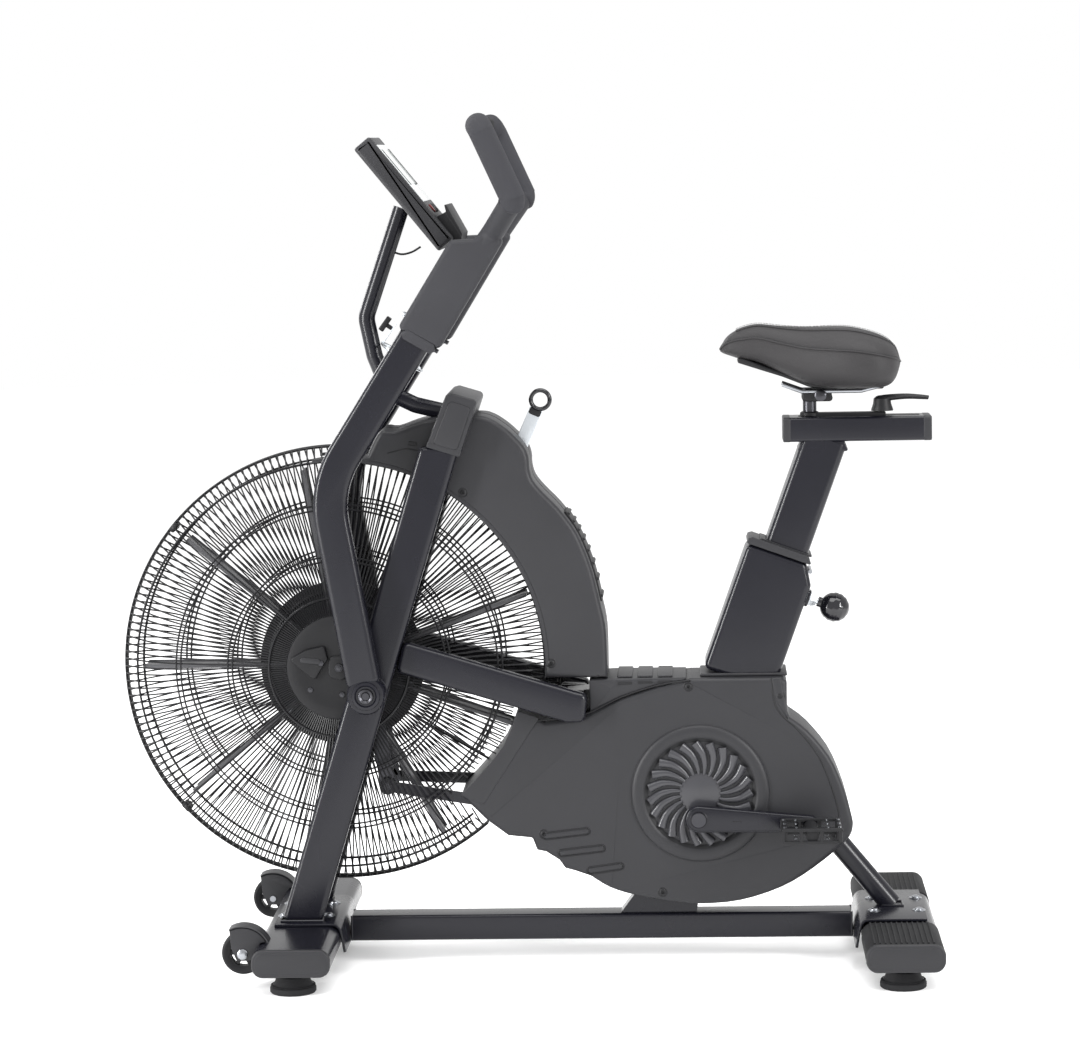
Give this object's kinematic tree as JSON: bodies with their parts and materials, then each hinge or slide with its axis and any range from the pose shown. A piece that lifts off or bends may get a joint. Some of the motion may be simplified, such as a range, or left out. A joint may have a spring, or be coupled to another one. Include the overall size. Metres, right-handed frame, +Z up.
{
  "type": "air bike",
  "caption": "Exercise bike whose pedals and swinging arms turn a bladed fan in a round wire guard, with a slanted seat post, saddle, console and two foot bars.",
  "frame": {"origin": "On the floor, under the middle of the bike, halfway along its overall length and on its middle plane.", "axes": "+Z up, -X to the front where the fan is, +X to the rear, -Y to the rider's left."},
  "size_m": [1.254, 0.54, 1.3138],
  "materials": {
    "satin_black": "satin",
    "guard_wire": "satin",
    "charcoal_plastic": "fine grain",
    "vent_plastic": "matte",
    "gloss_knob": "gloss",
    "tread_rubber": "matte",
    "grip_foam": "foam",
    "bright_steel": "zinc plated",
    "cage_wire": "bright wire",
    "screen_film": "gloss",
    "red_button": "gloss",
    "saddle_cover": "grained vinyl"
  },
  "bodies": {
    "frame": {"base_rail": "satin_black", "front_foot_bar": "satin_black", "rear_foot_bar": "satin_black", "foot_bar_caps": "charcoal_plastic", "rear_treads": "tread_rubber", "foot_bar_plates": "satin_black", "levelling_feet": "tread_rubber", "upright_left": "satin_black", "upright_right": "satin_black", "side_rail_left": "satin_black", "side_rail_right": "satin_black", "inner_frame": "satin_black", "rear_brace": "satin_black", "seat_tube": "satin_black", "seat_collar": "charcoal_plastic", "housing_left": "charcoal_plastic", "housing_right": "charcoal_plastic", "foot_tray": "charcoal_plastic", "turbine_covers": "charcoal_plastic", "shroud_left": "charcoal_plastic", "shroud_right": "charcoal_plastic", "vent_fins": "vent_plastic", "crossbar_cover": "charcoal_plastic", "guard_left": "guard_wire", "guard_right": "guard_wire", "hub_covers": "charcoal_plastic", "axle_plates": "bright_steel", "fan_axle": "bright_steel", "bearings": "bright_steel", "drive_belt": "tread_rubber", "fasteners": "bright_steel", "wheel_brackets": "charcoal_plastic", "console_stalk": "satin_black", "console_case": "charcoal_plastic", "console_screen": "screen_film", "phone_ledge": "charcoal_plastic", "bottle_cage": "cage_wire"},
    "fan": {"fan_rotor": "satin_black", "fan_pulley": "bright_steel"},
    "crank": {"crank_axle": "bright_steel", "crank_pulley": "charcoal_plastic", "crank_arm_left": "satin_black", "crank_arm_right": "satin_black"},
    "pedal_left": {"pedal_left": "charcoal_plastic"},
    "pedal_right": {"pedal_right": "charcoal_plastic"},
    "wheel_left": {"transport_wheel_left": "tread_rubber"},
    "wheel_right": {"transport_wheel_right": "tread_rubber"},
    "arm_left": {"arm_left": "satin_black", "grip_left": "grip_foam"},
    "arm_right": {"arm_right": "satin_black", "grip_right": "grip_foam"},
    "rod_left": {"drive_rod_left": "satin_black"},
    "rod_right": {"drive_rod_right": "satin_black"},
    "seat_post": {"seat_post": "satin_black"},
    "seat_carriage": {"seat_carriage": "charcoal_plastic", "saddle": "saddle_cover"},
    "clamp_lever": {"clamp_lever": "charcoal_plastic"},
    "pull_pin": {"pull_pin": "gloss_knob"},
    "resistance_lever": {"resistance_lever": "bright_steel"},
    "start_button": {"start_button": "red_button"}
  },
  "joints": [
    {"name": "crank_spin", "type": "hinge", "parent": "frame", "child": "crank", "pos_m": [0.263, 0, 0.232], "axis": [0, -1, 0], "continuous": true},
    {"name": "fan_spin", "type": "hinge", "parent": "frame", "child": "fan", "pos_m": [-0.287, 0, 0.47], "axis": [0, -1, 0], "continuous": true},
    {"name": "pedal_left_spin", "type": "hinge", "parent": "crank", "child": "pedal_left", "pos_m": [0.43377, -0.14, 0.22305], "axis": [0, -1, 0], "continuous": true},
    {"name": "pedal_right_spin", "type": "hinge", "parent": "crank", "child": "pedal_right", "pos_m": [0.09223, 0.14, 0.24095], "axis": [0, -1, 0], "continuous": true},
    {"name": "wheel_left_spin", "type": "hinge", "parent": "frame", "child": "wheel_left", "pos_m": [-0.428, -0.2, 0.057], "axis": [0, 1, 0], "continuous": true},
    {"name": "wheel_right_spin", "type": "hinge", "parent": "frame", "child": "wheel_right", "pos_m": [-0.428, 0.2, 0.057], "axis": [0, 1, 0], "continuous": true},
    {"name": "arm_left_swing", "type": "hinge", "parent": "frame", "child": "arm_left", "pos_m": [-0.24, -0.116, 0.436], "axis": [0, 1, 0], "range_deg": [-10, 10]},
    {"name": "arm_right_swing", "type": "hinge", "parent": "frame", "child": "arm_right", "pos_m": [-0.24, 0.116, 0.436], "axis": [0, 1, 0], "range_deg": [-10, 10]},
    {"name": "rod_left_turn", "type": "hinge", "parent": "arm_left", "child": "rod_left", "pos_m": [-0.21694, -0.045, 0.28171], "axis": [0, 1, 0], "range_deg": [-10, 10]},
    {"name": "rod_right_turn", "type": "hinge", "parent": "arm_right", "child": "rod_right", "pos_m": [-0.21694, 0.045, 0.28171], "axis": [0, 1, 0], "range_deg": [-10, 10]},
    {"name": "seat_height", "type": "slide", "parent": "frame", "child": "seat_post", "axis": [0.342, 0, 0.9397], "range_m": [-0.125, 0.075]},
    {"name": "seat_fore_aft", "type": "slide", "parent": "seat_post", "child": "seat_carriage", "axis": [1, 0, 0], "range_m": [-0.012, 0.05]},
    {"name": "clamp_turn", "type": "hinge", "parent": "seat_carriage", "child": "clamp_lever", "pos_m": [0.553, 0, 0.86], "axis": [0, 0, 1], "range_deg": [-80, 0]},
    {"name": "pull_pin_draw", "type": "slide", "parent": "frame", "child": "pull_pin", "axis": [0.9397, 0, -0.342], "range_m": [0, 0.012], "stiffness_N_per_m": 1500},
    {"name": "resistance_turn", "type": "hinge", "parent": "frame", "child": "resistance_lever", "pos_m": [-0.029, 0, 0.746], "axis": [0, 1, 0], "range_deg": [-18, 4]},
    {"name": "start_press", "type": "slide", "parent": "frame", "child": "start_button", "axis": [-0.7793, 0, -0.6266], "range_m": [0, 0.0015], "stiffness_N_per_m": 800}
  ],
  "couplings": [
    {"joint": "fan_spin", "follows": "crank_spin", "ratio": 4},
    {"joint": "arm_right_swing", "follows": "arm_left_swing", "ratio": -1},
    {"joint": "rod_left_turn", "follows": "arm_left_swing", "ratio": -1},
    {"joint": "rod_right_turn", "follows": "arm_left_swing", "ratio": 1}
  ]
}
